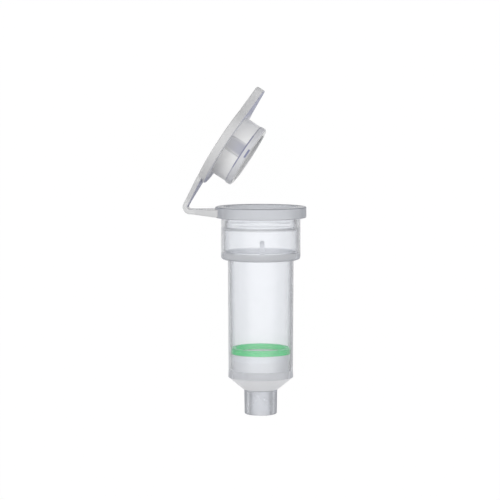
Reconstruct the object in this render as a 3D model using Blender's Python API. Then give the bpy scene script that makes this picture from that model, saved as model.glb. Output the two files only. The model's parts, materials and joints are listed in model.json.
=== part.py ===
"""Spin column for purifying nucleic acids, with its hinged lid swung open.

A clear body is moulded in one shot with a living-hinge strap and a plug lid. Inside its barrel a porous
frit stands on a ribbed ledge, a membrane lies on the frit, and a green ring holds both down.

Each piece is drawn in millimetres about the column's own axis: height 0 is the top of the flange, +Z runs
out of the mouth, and the strap and the lid leave towards -X. The open column cannot stand, so at the end it
is laid down on its flange, the lower corner of its barrel and the rim of its lid.
"""

import math

import bmesh
import bpy
from mathutils import Matrix, Vector

MM = 0.001
MERGE = 0.000001  # metres: points closer than this are one point

# How finely the round forms are cut
FACETS = 64
ARC_STEPS = 3
FOLD_STEPS = 10
TAPER_STEPS = 4

# Flange and mouth
FLANGE_DIAMETER = 12.4
FLANGE_THICKNESS = 1.5
FLANGE_EDGE_RADIUS = 0.15
MOUTH_BORE_DIAMETER = 9.3
MOUTH_LAND = 2.75
LEAD_IN_WIDTH = 0.3
LEAD_IN_HEIGHT = 2.1
LAND_EDGE_RADIUS = 0.12

# Collar below the flange, with a wider chamber inside it
COLLAR_DIAMETER = 10.8
COLLAR_WALL = 0.4
COLLAR_LENGTH = 5.7
COLLAR_CORNER_RADIUS = 0.5
CHAMBER_LIP = 0.3
CHAMBER_FLOOR_SLOPE = 0.8
CHAMBER_FLOOR_THICKNESS = 0.2

# Rounded rib on the chamber wall
PIP_WIDTH = 0.62
PIP_DEPTH = 0.28
PIP_RISE = 1.9
PIP_BURIED = 0.45
PIP_TURN_DEG = -82.0

# Barrel
BARREL_TOP_DIAMETER = 8.95
BARREL_LOW_DIAMETER = 8.8
BARREL_FLARE_DIAMETER = 8.88
BARREL_FLARE_RISE = 1.0
BARREL_WALL = 0.32
BARREL_LENGTH = 16.1

# Ledge, funnel and the ribs that carry the frit
LEDGE_RISE = 0.9
LEDGE_WIDTH = 0.45
LEDGE_EDGE_RADIUS = 0.08
CONE_LENGTH = 1.8
CONE_WALL = 0.6
RIB_COUNT = 8
RIB_THICKNESS = 0.34
RIB_DROP = 0.06
RIB_BITE = 0.14
RIB_CENTRE_GAP_RADIUS = 1.6
FIRST_RIB_TURN = math.pi / RIB_COUNT

# Nozzle
NOZZLE_DIAMETER = 4.5
NOZZLE_TIP_DIAMETER = 4.4
NOZZLE_LENGTH = 3.3
NOZZLE_BORE_DIAMETER = 2.6
NOZZLE_EDGE_RADIUS = 0.22
CONE_ROOT_RADIUS = 0.35

# Frit, membrane and retaining ring, stacked on the ledge
FRIT_THICKNESS = 1.4
MEMBRANE_THICKNESS = 0.85
RING_THICKNESS = 0.74
RING_WALL = 0.68
RING_EDGE_RADIUS = 0.12
SOFT_EDGE_RADIUS = 0.1
INSERT_FIT = 0.03
STACK_GAP = 0.03

# Lid: a round plate with a thumb tab, and a hollow plug that seals the mouth
LID_DIAMETER = 12.4
LID_THICKNESS = 1.15
LID_EDGE_RADIUS = 0.16
LID_EDGE_STEPS = 2
LID_SEAT_GAP = 0.04
TAB_REACH = 2.56
TAB_ROOT_WIDTH = 6.8
TAB_TIP_WIDTH = 2.2
TAB_TIP_RADIUS = 0.9
PLUG_SLACK = 0.27
BEAD_SLACK = 0.18
PLUG_DEPTH = 3.15
PLUG_WALL = 0.8
PLUG_BURIED = 0.3
BEAD_HEIGHT = 0.9
BEAD_EDGE_RADIUS = 0.15
PLUG_NOSE_RADIUS = 0.4

# Strap and its fold
HINGE_REACH = 3.58
HINGE_HEIGHT = 0.24
LID_OPEN_DEG = 56.9
STRAP_THICKNESS = 0.66
STRAP_ROOT_THICKNESS = 1.0
STRAP_DROP = 0.37
STRAP_LEAN_DEG = 4.0
STRAP_END_WIDTH = 5.4
STRAP_WAIST_WIDTH = 2.2
STRAP_WAIST_LENGTH = 1.8
STRAP_EDGE_RADIUS = 0.12
FOLD_INNER_RADIUS = 0.32
JOIN_GAP = 0.02
CUTTER_MARGIN = 1.0

# How far the column can roll onto its lid, and how often the search for the roll halves
STEEPEST_ROLL = math.radians(40)
ROLL_TRIES = 30

# How large the empties show
EMPTY_SIZE = 4.0

# Heights and radii that follow from the sizes above
FLANGE_RADIUS = FLANGE_DIAMETER / 2
LID_RADIUS = LID_DIAMETER / 2
MOUTH_RADIUS = MOUTH_BORE_DIAMETER / 2
CHAMBER_RADIUS = COLLAR_DIAMETER / 2 - COLLAR_WALL
COLLAR_FOOT = -FLANGE_THICKNESS - COLLAR_LENGTH
BARREL_FOOT = COLLAR_FOOT - BARREL_LENGTH
BORE_TOP_RADIUS = BARREL_TOP_DIAMETER / 2 - BARREL_WALL
BORE_LOW_RADIUS = BARREL_LOW_DIAMETER / 2 - BARREL_WALL
CHAMBER_FLOOR_LOW = COLLAR_FOOT + CHAMBER_FLOOR_THICKNESS
CHAMBER_FLOOR_TOP = CHAMBER_FLOOR_LOW + CHAMBER_FLOOR_SLOPE
LEDGE = BARREL_FOOT + LEDGE_RISE
FUNNEL_RADIUS = BORE_LOW_RADIUS - LEDGE_WIDTH
CONE_FOOT = BARREL_FOOT - CONE_LENGTH
NOZZLE_END = CONE_FOOT - NOZZLE_LENGTH
NOZZLE_BORE_RADIUS = NOZZLE_BORE_DIAMETER / 2
CONE_RUN = (BARREL_FLARE_DIAMETER - NOZZLE_DIAMETER) / 2
CONE_WALL_ACROSS = CONE_WALL * math.hypot(CONE_RUN, CONE_LENGTH) / CONE_LENGTH
FUNNEL_TOP_STEP = BARREL_FLARE_DIAMETER / 2 - CONE_WALL_ACROSS - FUNNEL_RADIUS
FUNNEL_TOP = BARREL_FOOT - FUNNEL_TOP_STEP * CONE_LENGTH / CONE_RUN
FUNNEL_FOOT = FUNNEL_TOP - (FUNNEL_RADIUS - NOZZLE_BORE_RADIUS) * CONE_LENGTH / CONE_RUN
HINGE = Vector((-FLANGE_RADIUS - HINGE_REACH, 0.0, HINGE_HEIGHT))
LID_OPEN = math.radians(LID_OPEN_DEG)


def clear_scene():
    """Removes whatever objects the file opened with."""
    for found in list(bpy.data.objects):
        bpy.data.objects.remove(found, do_unlink=True)


def moulded_plastic(name, colour, roughness):
    """A Principled material of one plastic."""
    made = bpy.data.materials.new(name)
    made.use_nodes = True
    shader = made.node_tree.nodes["Principled BSDF"]
    shader.inputs["Base Color"].default_value = (*colour, 1.0)
    shader.inputs["Roughness"].default_value = roughness
    shader.inputs["Metallic"].default_value = 0.0
    return made


def rounded(corners, steps=ARC_STEPS):
    """The outline through (x, y, radius) corners, with an arc at each corner that has a radius."""
    outline = []
    for index, (x, y, radius) in enumerate(corners):
        corner = Vector((x, y))
        if radius <= 0:
            outline.append(corner)
            continue
        before = Vector(corners[index - 1][:2]) - corner
        after = Vector(corners[(index + 1) % len(corners)][:2]) - corner
        half = before.angle(after) / 2
        reach = min(radius / math.tan(half), 0.45 * before.length, 0.45 * after.length)
        held = reach * math.tan(half)
        middle = (before.normalized() + after.normalized()).normalized()
        centre = corner + middle * held / math.sin(half)
        start = corner + before.normalized() * reach - centre
        end = corner + after.normalized() * reach - centre
        sweep = math.atan2(start.cross(end), start.dot(end))
        for step in range(steps + 1):
            outline.append(centre + start @ Matrix.Rotation(-sweep * step / steps, 2))
    return outline


def placed(name, mesh_data, material, parent):
    """An object for a finished mesh, shaded smooth apart from its sharp edges."""
    made = bpy.data.objects.new(name, mesh_data)
    bpy.context.scene.collection.objects.link(made)
    mesh_data.shade_smooth()
    mesh_data.set_sharp_from_angle(angle=math.radians(32))
    if material:
        mesh_data.materials.append(material)
    made.parent = parent
    return made


def mesh_of(name, work):
    """Closes a bmesh into mesh data, with its faces pointing outwards."""
    bmesh.ops.remove_doubles(work, verts=work.verts, dist=MERGE)
    bmesh.ops.recalc_face_normals(work, faces=work.faces)
    data = bpy.data.meshes.new(name)
    work.to_mesh(data)
    work.free()
    return data


def turned(name, section, closed=True):
    """Turns a section of (radius, height) points about the column's axis.

    A section that meets the axis is left open there, and the turn closes it.
    """
    work = bmesh.new()
    points = [work.verts.new((radius * MM, 0.0, height * MM)) for radius, height in section]
    edges = [work.edges.new(pair) for pair in zip(points, points[1:])]
    if closed:
        edges.append(work.edges.new((points[-1], points[0])))
    bmesh.ops.spin(
        work,
        geom=points + edges,
        cent=(0.0, 0.0, 0.0),
        axis=(0.0, 0.0, 1.0),
        angle=2 * math.pi,
        steps=FACETS,
        use_merge=True,
    )
    return mesh_of(name, work)


def raised(work, outline, low, high, place):
    """Extrudes a flat outline from one level to another, and puts it in place."""
    base = [work.verts.new((x * MM, y * MM, low * MM)) for x, y in outline]
    face = work.faces.new(base)
    lifted = bmesh.ops.extrude_face_region(work, geom=[face])["geom"]
    tops = [item for item in lifted if isinstance(item, bmesh.types.BMVert)]
    bmesh.ops.translate(work, verts=tops, vec=(0.0, 0.0, (high - low) * MM))
    bmesh.ops.transform(work, matrix=place, verts=base + tops)
    return base + tops


def helper(name, mesh_data, parent):
    """A shape that only cuts or joins another: it shows as wire and is not part of the object."""
    made = placed(name, mesh_data, None, parent)
    made.display_type = "WIRE"
    made.hide_render = True
    return made


def combine(target, tool, operation):
    """Joins a helper to a piece, or cuts it away."""
    step = target.modifiers.new(tool.name, "BOOLEAN")
    step.operation = operation
    step.solver = "EXACT"
    step.object = tool


def bore_radius(height):
    """The barrel bore at a height between its top and its ledge: the mould's draft narrows it downwards."""
    share = (CHAMBER_FLOOR_LOW - height) / (CHAMBER_FLOOR_LOW - LEDGE)
    return BORE_TOP_RADIUS + (BORE_LOW_RADIUS - BORE_TOP_RADIUS) * share


def body_section():
    """The wall of the column, down its outside and back up its inside."""
    return rounded(
        [
            (MOUTH_RADIUS + LEAD_IN_WIDTH, 0.0, 0.0),
            (FLANGE_RADIUS, 0.0, FLANGE_EDGE_RADIUS),
            (FLANGE_RADIUS, -FLANGE_THICKNESS, FLANGE_EDGE_RADIUS),
            (COLLAR_DIAMETER / 2, -FLANGE_THICKNESS, FLANGE_EDGE_RADIUS),
            (COLLAR_DIAMETER / 2, COLLAR_FOOT, COLLAR_CORNER_RADIUS),
            (BARREL_TOP_DIAMETER / 2, COLLAR_FOOT, 0.0),
            (BARREL_LOW_DIAMETER / 2, BARREL_FOOT + BARREL_FLARE_RISE, 0.0),
            (BARREL_FLARE_DIAMETER / 2, BARREL_FOOT, 0.0),
            (NOZZLE_DIAMETER / 2, CONE_FOOT, CONE_ROOT_RADIUS),
            (NOZZLE_TIP_DIAMETER / 2, NOZZLE_END, NOZZLE_EDGE_RADIUS),
            (NOZZLE_BORE_RADIUS, NOZZLE_END, 0.0),
            (NOZZLE_BORE_RADIUS, FUNNEL_FOOT, 0.0),
            (FUNNEL_RADIUS, FUNNEL_TOP, 0.0),
            (FUNNEL_RADIUS, LEDGE, LEDGE_EDGE_RADIUS),
            (BORE_LOW_RADIUS, LEDGE, 0.0),
            (BORE_TOP_RADIUS, CHAMBER_FLOOR_LOW, 0.0),
            (CHAMBER_RADIUS, CHAMBER_FLOOR_TOP, 0.0),
            (CHAMBER_RADIUS, -MOUTH_LAND - CHAMBER_LIP, 0.0),
            (MOUTH_RADIUS, -MOUTH_LAND, LAND_EDGE_RADIUS),
            (MOUTH_RADIUS, -LEAD_IN_HEIGHT, 0.0),
        ]
    )


def rib_mesh():
    """Ribs that stand in the funnel, just under the ledge, and leave its centre free to drain."""
    inner_wall = FUNNEL_TOP - (FUNNEL_RADIUS - RIB_CENTRE_GAP_RADIUS) * CONE_LENGTH / CONE_RUN
    outline = [
        (RIB_CENTRE_GAP_RADIUS, LEDGE - RIB_DROP),
        (FUNNEL_RADIUS + RIB_BITE, LEDGE - RIB_DROP),
        (FUNNEL_RADIUS + RIB_BITE, FUNNEL_TOP),
        (RIB_CENTRE_GAP_RADIUS, inner_wall - RIB_BITE),
    ]
    upright = Matrix.Rotation(math.pi / 2, 4, "X")
    work = bmesh.new()
    for index in range(RIB_COUNT):
        turn = Matrix.Rotation(2 * math.pi * index / RIB_COUNT + FIRST_RIB_TURN, 4, "Z")
        raised(work, outline, -RIB_THICKNESS / 2, RIB_THICKNESS / 2, turn @ upright)
    return mesh_of("support_ribs", work)


def pip_mesh():
    """The rounded rib that rises from the chamber floor along its wall."""
    half = PIP_WIDTH / 2
    foot = CHAMBER_FLOOR_TOP - PIP_BURIED
    crown = CHAMBER_FLOOR_TOP + PIP_RISE
    corners = [(-half, foot, 0.0), (half, foot, 0.0), (half, crown, half), (-half, crown, half)]
    outline = rounded(corners, 2 * ARC_STEPS)
    out_along_x = Matrix(((0, 0, 1, 0), (1, 0, 0, 0), (0, 1, 0, 0), (0, 0, 0, 1)))
    turn = Matrix.Rotation(math.radians(PIP_TURN_DEG), 4, "Z")
    work = bmesh.new()
    raised(work, outline, CHAMBER_RADIUS - PIP_DEPTH, CHAMBER_RADIUS + COLLAR_WALL / 2, turn @ out_along_x)
    return mesh_of("wall_pip", work)


def make_body(axis, plastic):
    """The column: flange, collar, barrel, cone and nozzle as one moulding."""
    body = placed("column_body", turned("column_body", body_section()), plastic, axis)
    combine(body, helper("support_ribs", rib_mesh(), axis), "UNION")
    combine(body, helper("wall_pip", pip_mesh(), axis), "UNION")
    return body


def disc_section(radius, low, high, edge):
    """Half of a solid disc with softened edges, open at the axis."""
    return rounded([(0.0, high, 0.0), (radius, high, edge), (radius, low, edge), (0.0, low, 0.0)], 1)


def make_inserts(axis, porous, silica, green):
    """Frit, membrane and retaining ring, each resting on the one below."""
    frit_foot = LEDGE + STACK_GAP
    membrane_foot = frit_foot + FRIT_THICKNESS + STACK_GAP
    ring_foot = membrane_foot + MEMBRANE_THICKNESS + STACK_GAP
    frit_r = bore_radius(frit_foot) - INSERT_FIT
    membrane_r = bore_radius(membrane_foot) - INSERT_FIT
    ring_r = bore_radius(ring_foot) - INSERT_FIT
    frit = disc_section(frit_r, frit_foot, frit_foot + FRIT_THICKNESS, SOFT_EDGE_RADIUS)
    placed("frit", turned("frit", frit, closed=False), porous, axis)
    membrane = disc_section(membrane_r, membrane_foot, membrane_foot + MEMBRANE_THICKNESS, SOFT_EDGE_RADIUS)
    placed("membrane", turned("membrane", membrane, closed=False), silica, axis)
    ring = rounded(
        [
            (ring_r - RING_WALL, ring_foot + RING_THICKNESS, RING_EDGE_RADIUS),
            (ring_r, ring_foot + RING_THICKNESS, RING_EDGE_RADIUS),
            (ring_r, ring_foot, RING_EDGE_RADIUS),
            (ring_r - RING_WALL, ring_foot, RING_EDGE_RADIUS),
        ],
        1,
    )
    placed("retaining_ring", turned("retaining_ring", ring), green, axis)


def plate_outline():
    """The lid from above: a circle that runs out into a tapering thumb tab."""
    root = TAB_ROOT_WIDTH / 2
    leave = math.asin(root / LID_RADIUS)
    arc_count = FACETS - 2 * round(FACETS * leave / (2 * math.pi))
    sweep = 2 * (math.pi - leave)
    around = [leave + sweep * step / arc_count for step in range(arc_count + 1)]
    circle = [Vector((LID_RADIUS * math.cos(turn), LID_RADIUS * math.sin(turn))) for turn in around]
    tip = LID_RADIUS + TAB_REACH
    tab = rounded(
        [
            (LID_RADIUS * math.cos(leave), -root, 0.0),
            (tip, -TAB_TIP_WIDTH / 2, TAB_TIP_RADIUS),
            (tip, TAB_TIP_WIDTH / 2, TAB_TIP_RADIUS),
            (LID_RADIUS * math.cos(leave), root, 0.0),
        ]
    )
    return circle + tab[1:-1]


def plug_section():
    """The hollow plug: a wall that hangs from the plate, with a sealing bead and a rounded nose."""
    shaft = MOUTH_RADIUS - PLUG_SLACK
    bead = MOUTH_RADIUS - BEAD_SLACK
    inner = shaft - PLUG_WALL
    foot = LID_SEAT_GAP - PLUG_DEPTH
    return rounded(
        [
            (shaft, LID_SEAT_GAP + PLUG_BURIED, 0.0),
            (shaft, foot + BEAD_HEIGHT, BEAD_EDGE_RADIUS),
            (bead, foot + BEAD_HEIGHT - (bead - shaft), BEAD_EDGE_RADIUS),
            (bead, foot, PLUG_NOSE_RADIUS),
            (inner, foot, BEAD_EDGE_RADIUS),
            (inner, LID_SEAT_GAP + PLUG_BURIED, 0.0),
        ]
    )


def make_lid(hinge, plastic):
    """The lid, drawn closed over the mouth and carried by the empty on the fold."""
    work = bmesh.new()
    plate = raised(work, plate_outline(), LID_SEAT_GAP, LID_SEAT_GAP + LID_THICKNESS, Matrix())
    rims = {edge for point in plate for edge in point.link_edges if edge.calc_length() > 0}
    level = [edge for edge in rims if abs(edge.verts[0].co.z - edge.verts[1].co.z) < MERGE]
    bmesh.ops.bevel(
        work,
        geom=level,
        offset=LID_EDGE_RADIUS * MM,
        offset_type="OFFSET",
        segments=LID_EDGE_STEPS,
        profile=0.5,
        affect="EDGES",
    )
    lid = placed("lid", mesh_of("lid", work), plastic, hinge)
    lid.location = -HINGE * MM
    plug = helper("lid_plug", turned("lid_plug", plug_section()), hinge)
    plug.location = lid.location
    combine(lid, plug, "UNION")
    return lid


def strap_path():
    """The strap's inner side in the XZ plane, as (point, direction) from flange to open lid."""
    lid_side = Vector((-LID_RADIUS, LID_SEAT_GAP + LID_THICKNESS - STRAP_THICKNESS))
    pivot = Vector((HINGE.x, HINGE.z))
    along_lid = Vector((math.cos(LID_OPEN), math.sin(LID_OPEN)))
    square_to_lid = Vector((-along_lid.y, along_lid.x))
    arm = lid_side - pivot
    high = pivot + along_lid * arm.x + square_to_lid * arm.y
    slope = LID_OPEN + math.radians(STRAP_LEAN_DEG)
    rising = Vector((math.cos(slope), math.sin(slope)))
    corner = high - rising * (high.y + STRAP_DROP) / rising.y
    reach = FOLD_INNER_RADIUS / math.tan(slope / 2)
    centre = Vector((corner.x + reach, corner.y + FOLD_INNER_RADIUS))
    path = []
    start = Vector((STRAP_END_WIDTH / 2 - FLANGE_RADIUS, corner.y))
    fold_start = Vector((centre.x, corner.y))
    outwards = Vector((-1.0, 0.0))
    for step in range(TAPER_STEPS):
        path.append((start.lerp(fold_start, step / TAPER_STEPS), outwards))
    for step in range(FOLD_STEPS + 1):
        turn = -(math.pi - slope) * step / FOLD_STEPS
        spoke = Vector((math.sin(turn), -math.cos(turn)))
        path.append((centre + spoke * FOLD_INNER_RADIUS, Vector((-math.cos(turn), -math.sin(turn)))))
    fold_end = path[-1][0]
    end = high + rising * STRAP_END_WIDTH / 2
    for step in range(1, TAPER_STEPS + 1):
        path.append((fold_end.lerp(end, step / TAPER_STEPS), rising))
    return path


def strap_mesh():
    """The strap: a thin band that is thickest at the flange and narrows to the fold, where it bends."""
    path = strap_path()
    travelled = [0.0]
    for (here, _), (there, _) in zip(path, path[1:]):
        travelled.append(travelled[-1] + (there - here).length)
    middle = travelled[TAPER_STEPS + FOLD_STEPS // 2]
    buried = STRAP_END_WIDTH / 2
    longest = max(middle, travelled[-1] - middle) - buried
    work = bmesh.new()
    rings = []
    for (point, direction), distance in zip(path, travelled):
        off_waist = max(abs(distance - middle) - STRAP_WAIST_LENGTH / 2, 0.0)
        share = min(off_waist / (longest - STRAP_WAIST_LENGTH / 2), 1.0)
        half_w = (STRAP_WAIST_WIDTH + (STRAP_END_WIDTH - STRAP_WAIST_WIDTH) * share) / 2
        to_flange = min(max((middle - distance) / (middle - buried), 0.0), 1.0)
        thickness = STRAP_THICKNESS + (STRAP_ROOT_THICKNESS - STRAP_THICKNESS) * to_flange
        outer_way = Vector((-direction.y, direction.x))
        section = rounded(
            [
                (-half_w, 0.0, STRAP_EDGE_RADIUS),
                (half_w, 0.0, STRAP_EDGE_RADIUS),
                (half_w, thickness, STRAP_EDGE_RADIUS),
                (-half_w, thickness, STRAP_EDGE_RADIUS),
            ],
            1,
        )
        corners = [(point.x + outer_way.x * v, u, point.y + outer_way.y * v) for u, v in section]
        rings.append([work.verts.new(Vector(corner) * MM) for corner in corners])
    for ring, after in zip(rings, rings[1:]):
        for index in range(len(ring)):
            follow = (index + 1) % len(ring)
            work.faces.new((ring[index], ring[follow], after[follow], after[index]))
    work.faces.new(rings[0])
    work.faces.new(rings[-1])
    return mesh_of("strap", work)


def rim_cutter(name, radius, low, high, parent):
    """A round block that trims the strap to the rim it grows from."""
    section = [(0.0, high), (radius, high), (radius, low), (0.0, low)]
    return helper(name, turned(name, section, closed=False), parent)


def make_strap(axis, hinge, plastic):
    """The strap between flange and lid, trimmed round at both ends."""
    strap = placed("strap", strap_mesh(), plastic, axis)
    under = -FLANGE_THICKNESS - CUTTER_MARGIN
    at_flange = rim_cutter("flange_trim", FLANGE_RADIUS + JOIN_GAP, under, CUTTER_MARGIN, axis)
    above = LID_THICKNESS + CUTTER_MARGIN
    at_lid = rim_cutter("lid_trim", LID_RADIUS + JOIN_GAP, -CUTTER_MARGIN, above, hinge)
    at_lid.location = -HINGE * MM
    combine(strap, at_flange, "DIFFERENCE")
    combine(strap, at_lid, "DIFFERENCE")
    return strap


def lying(tilt, roll):
    """Lays the column along +Y, mouth end raised by the tilt, and rolls its lid side down."""
    on_side = Matrix.Rotation(-math.pi / 2, 4, "X")
    return Matrix.Rotation(tilt, 4, "X") @ Matrix.Rotation(-roll, 4, "Y") @ on_side


def lowest(points, turn):
    """The height of the lowest point once turned."""
    return min((turn @ point).z for point in points)


def lay_down(axis, body, lid, strap, hinge_frame):
    """Rests the open column on its flange, the barrel's lower corner and the lid's rim.

    The column's middle, fold of the strap included, comes over the origin.
    """
    tilt = math.atan2(FLANGE_RADIUS - BARREL_FLARE_DIAMETER / 2, -FLANGE_THICKNESS - BARREL_FOOT)
    body_points = [vertex.co for vertex in body.data.vertices]
    lid_frame = hinge_frame @ Matrix.Translation(-HINGE * MM)
    lid_points = [lid_frame @ vertex.co for vertex in lid.data.vertices]
    least, most = 0.0, STEEPEST_ROLL
    for _ in range(ROLL_TRIES):
        roll = (least + most) / 2
        turn = lying(tilt, roll)
        if lowest(lid_points, turn) > lowest(body_points, turn):
            least = roll
        else:
            most = roll
    turn = lying(tilt, roll)
    strap_points = [vertex.co for vertex in strap.data.vertices]
    turned_points = [turn @ point for point in body_points + lid_points + strap_points]
    lows = Vector([min(point[side] for point in turned_points) for side in range(3)])
    highs = Vector([max(point[side] for point in turned_points) for side in range(3)])
    shift = Vector((-(lows.x + highs.x) / 2, -(lows.y + highs.y) / 2, -lows.z))
    axis.matrix_world = Matrix.Translation(shift) @ turn


def empty(name, parent=None):
    """An empty that carries pieces."""
    made = bpy.data.objects.new(name, None)
    made.empty_display_size = EMPTY_SIZE * MM
    bpy.context.scene.collection.objects.link(made)
    made.parent = parent
    return made


def main():
    clear_scene()
    clear = moulded_plastic("clear_polypropylene", (0.86, 0.88, 0.9), 0.18)
    milky = moulded_plastic("milky_polypropylene", (0.8, 0.81, 0.82), 0.32)
    porous = moulded_plastic("sintered_polyethylene", (0.93, 0.93, 0.92), 0.85)
    silica = moulded_plastic("silica_membrane", (0.96, 0.96, 0.96), 0.9)
    green = moulded_plastic("green_polypropylene", (0.05, 0.6, 0.3), 0.3)
    axis = empty("column_axis")
    hinge = empty("lid_hinge", axis)
    hinge_frame = Matrix.Translation(HINGE * MM) @ Matrix.Rotation(-LID_OPEN, 4, "Y")
    hinge.matrix_local = hinge_frame
    body = make_body(axis, clear)
    make_inserts(axis, porous, silica, green)
    lid = make_lid(hinge, milky)
    strap = make_strap(axis, hinge, milky)
    lay_down(axis, body, lid, strap, hinge_frame)


main()
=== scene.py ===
import json
import logging
import math
from collections.abc import Callable
from dataclasses import dataclass, field
from enum import Enum

import bmesh
import bpy
from bmesh.types import BMesh, BMVert
from bpy.types import Camera, Light, Material, Mesh, Node, NodeSocket, NodeTree, Object
from mathutils import Matrix, Vector

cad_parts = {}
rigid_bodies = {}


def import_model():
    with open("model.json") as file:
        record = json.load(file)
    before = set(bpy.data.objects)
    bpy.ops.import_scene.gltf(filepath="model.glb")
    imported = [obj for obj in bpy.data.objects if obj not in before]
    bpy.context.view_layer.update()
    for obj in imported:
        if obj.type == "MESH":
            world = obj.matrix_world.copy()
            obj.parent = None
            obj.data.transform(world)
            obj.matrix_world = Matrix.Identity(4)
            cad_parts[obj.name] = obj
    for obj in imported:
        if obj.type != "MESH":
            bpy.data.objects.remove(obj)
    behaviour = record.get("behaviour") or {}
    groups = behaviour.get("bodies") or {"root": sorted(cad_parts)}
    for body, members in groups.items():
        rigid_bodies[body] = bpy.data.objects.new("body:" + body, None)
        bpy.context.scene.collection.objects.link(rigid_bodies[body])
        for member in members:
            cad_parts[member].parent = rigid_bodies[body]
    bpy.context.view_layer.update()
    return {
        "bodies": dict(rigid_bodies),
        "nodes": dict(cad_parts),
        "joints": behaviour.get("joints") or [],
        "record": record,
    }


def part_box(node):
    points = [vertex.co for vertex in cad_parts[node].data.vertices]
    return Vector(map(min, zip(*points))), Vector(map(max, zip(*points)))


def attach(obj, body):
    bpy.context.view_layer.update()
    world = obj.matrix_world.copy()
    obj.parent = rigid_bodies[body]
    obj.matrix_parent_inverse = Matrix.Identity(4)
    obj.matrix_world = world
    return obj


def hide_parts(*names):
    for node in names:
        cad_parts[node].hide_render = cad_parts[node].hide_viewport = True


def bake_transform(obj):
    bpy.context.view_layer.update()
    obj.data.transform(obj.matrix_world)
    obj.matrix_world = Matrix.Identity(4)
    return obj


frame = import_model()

LOG = logging.getLogger("spin_column")
MM = 0.001
MERGE_MM = 0.0005
SORT_DIGITS = 4
SMOOTH_BELOW = math.radians(34)
ARC_SHARE = 0.45
LEVEL_UP = 0.95
FACING_DOWN = -0.8
TOUCH_MM = 0.01
# Names of the mesh notes: cloudiness and paleness, which in places also carry painted shade and a painted
# dark reflection.
CLOUD_AND_SHADE = "cloud"
PALE_AND_SHADE = "pale"

Pair = tuple[float, float]
Triple = tuple[float, float, float]
Look = Pair


class Body(Enum):
    """Bodies of the CAD model that a piece can ride on."""

    COLUMN = "column"
    LID = "lid"


class Slot(Enum):
    """Material slots of the record."""

    CLEAR = "clear_polypropylene"
    MILKY = "milky_polypropylene"
    GREEN = "green_polypropylene"
    SILICA = "silica_membrane"
    POROUS = "sintered_polyethylene"


def ramp(value: float, start: float, end: float) -> float:
    """Rises from 0 at start to 1 at end, and stays level on both sides."""
    return max(0.0, min(1.0, (value - start) / (end - start)))


# Materials.


def srgb(code: str) -> tuple[float, float, float, float]:
    """Turns an sRGB hex colour into the linear colour a shader wants.

    Args:
        code: Six hex digits, red, green and blue.

    Returns:
        Linear red, green, blue and an alpha of one.
    """
    parts = [int(code[at : at + 2], 16) / 255 for at in (0, 2, 4)]
    linear = [part / 12.92 if part <= 0.04045 else ((part + 0.055) / 1.055) ** 2.4 for part in parts]
    return (*linear, 1.0)


def add(tree: NodeTree, kind: str, values: dict | None = None, **settings: object) -> Node:
    """Adds a node, sets it, and fills or links its inputs.

    Args:
        tree: The node tree that takes the node.
        kind: The node's type name.
        values: Input name or number, with a value, an output socket, or a node for its first output.
        **settings: Properties of the node itself.

    Returns:
        The new node.
    """
    node = tree.nodes.new(kind)
    for name, value in settings.items():
        setattr(node, name, value)
    for name, value in (values or {}).items():
        source = value.outputs[0] if isinstance(value, Node) else value
        if isinstance(source, NodeSocket):
            tree.links.new(source, node.inputs[name])
        else:
            node.inputs[name].default_value = source
    return node


@dataclass(frozen=True)
class Finish:
    """A finish: its material's name, and the start that all finishes share."""

    name: str

    def shade(self, tree: NodeTree, place: NodeSocket) -> dict[str, Node]:
        """Adds the finish's own nodes, and returns what goes into the output."""
        raise NotImplementedError

    def build(self) -> Material:
        """Makes the material, with its patterns laid out in object coordinates.

        Returns:
            The material.
        """
        made = bpy.data.materials.new(self.name)
        made.use_nodes = True
        tree = made.node_tree
        tree.nodes.clear()
        place = add(tree, "ShaderNodeTexCoord").outputs["Object"]
        add(tree, "ShaderNodeOutputMaterial", self.shade(tree, place))
        return made


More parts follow.
